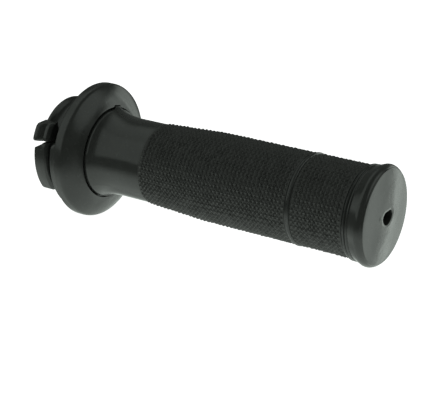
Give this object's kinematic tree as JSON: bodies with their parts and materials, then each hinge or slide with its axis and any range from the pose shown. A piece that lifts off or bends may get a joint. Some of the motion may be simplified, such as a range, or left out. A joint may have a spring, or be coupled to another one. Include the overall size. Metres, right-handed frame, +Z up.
{
  "type": "throttle grip",
  "caption": "Black twist-grip for a scooter: a throttle tube with domed flange and cable drum, under a knurled rubber sleeve with a closed, flared outer end.",
  "frame": {"origin": "on the bore's axis, in the plane of the drum's inboard end", "axes": "+X along the handlebar from the throttle housing to the closed outer end, +Z up, +Y square to both; the cable's nipple pocket opens towards -Y and +Z"},
  "size_m": [0.1345, 0.0504, 0.0504],
  "materials": {
    "tube_plastic": "smooth moulded black nylon with a soft sheen",
    "grip_rubber": "moulded black rubber, fine diamond knurl between smooth satin neck, ring and collar"
  },
  "bodies": {
    "root": {"throttle_tube": "tube_plastic", "grip_rubber": "grip_rubber"}
  },
  "joints": []
}
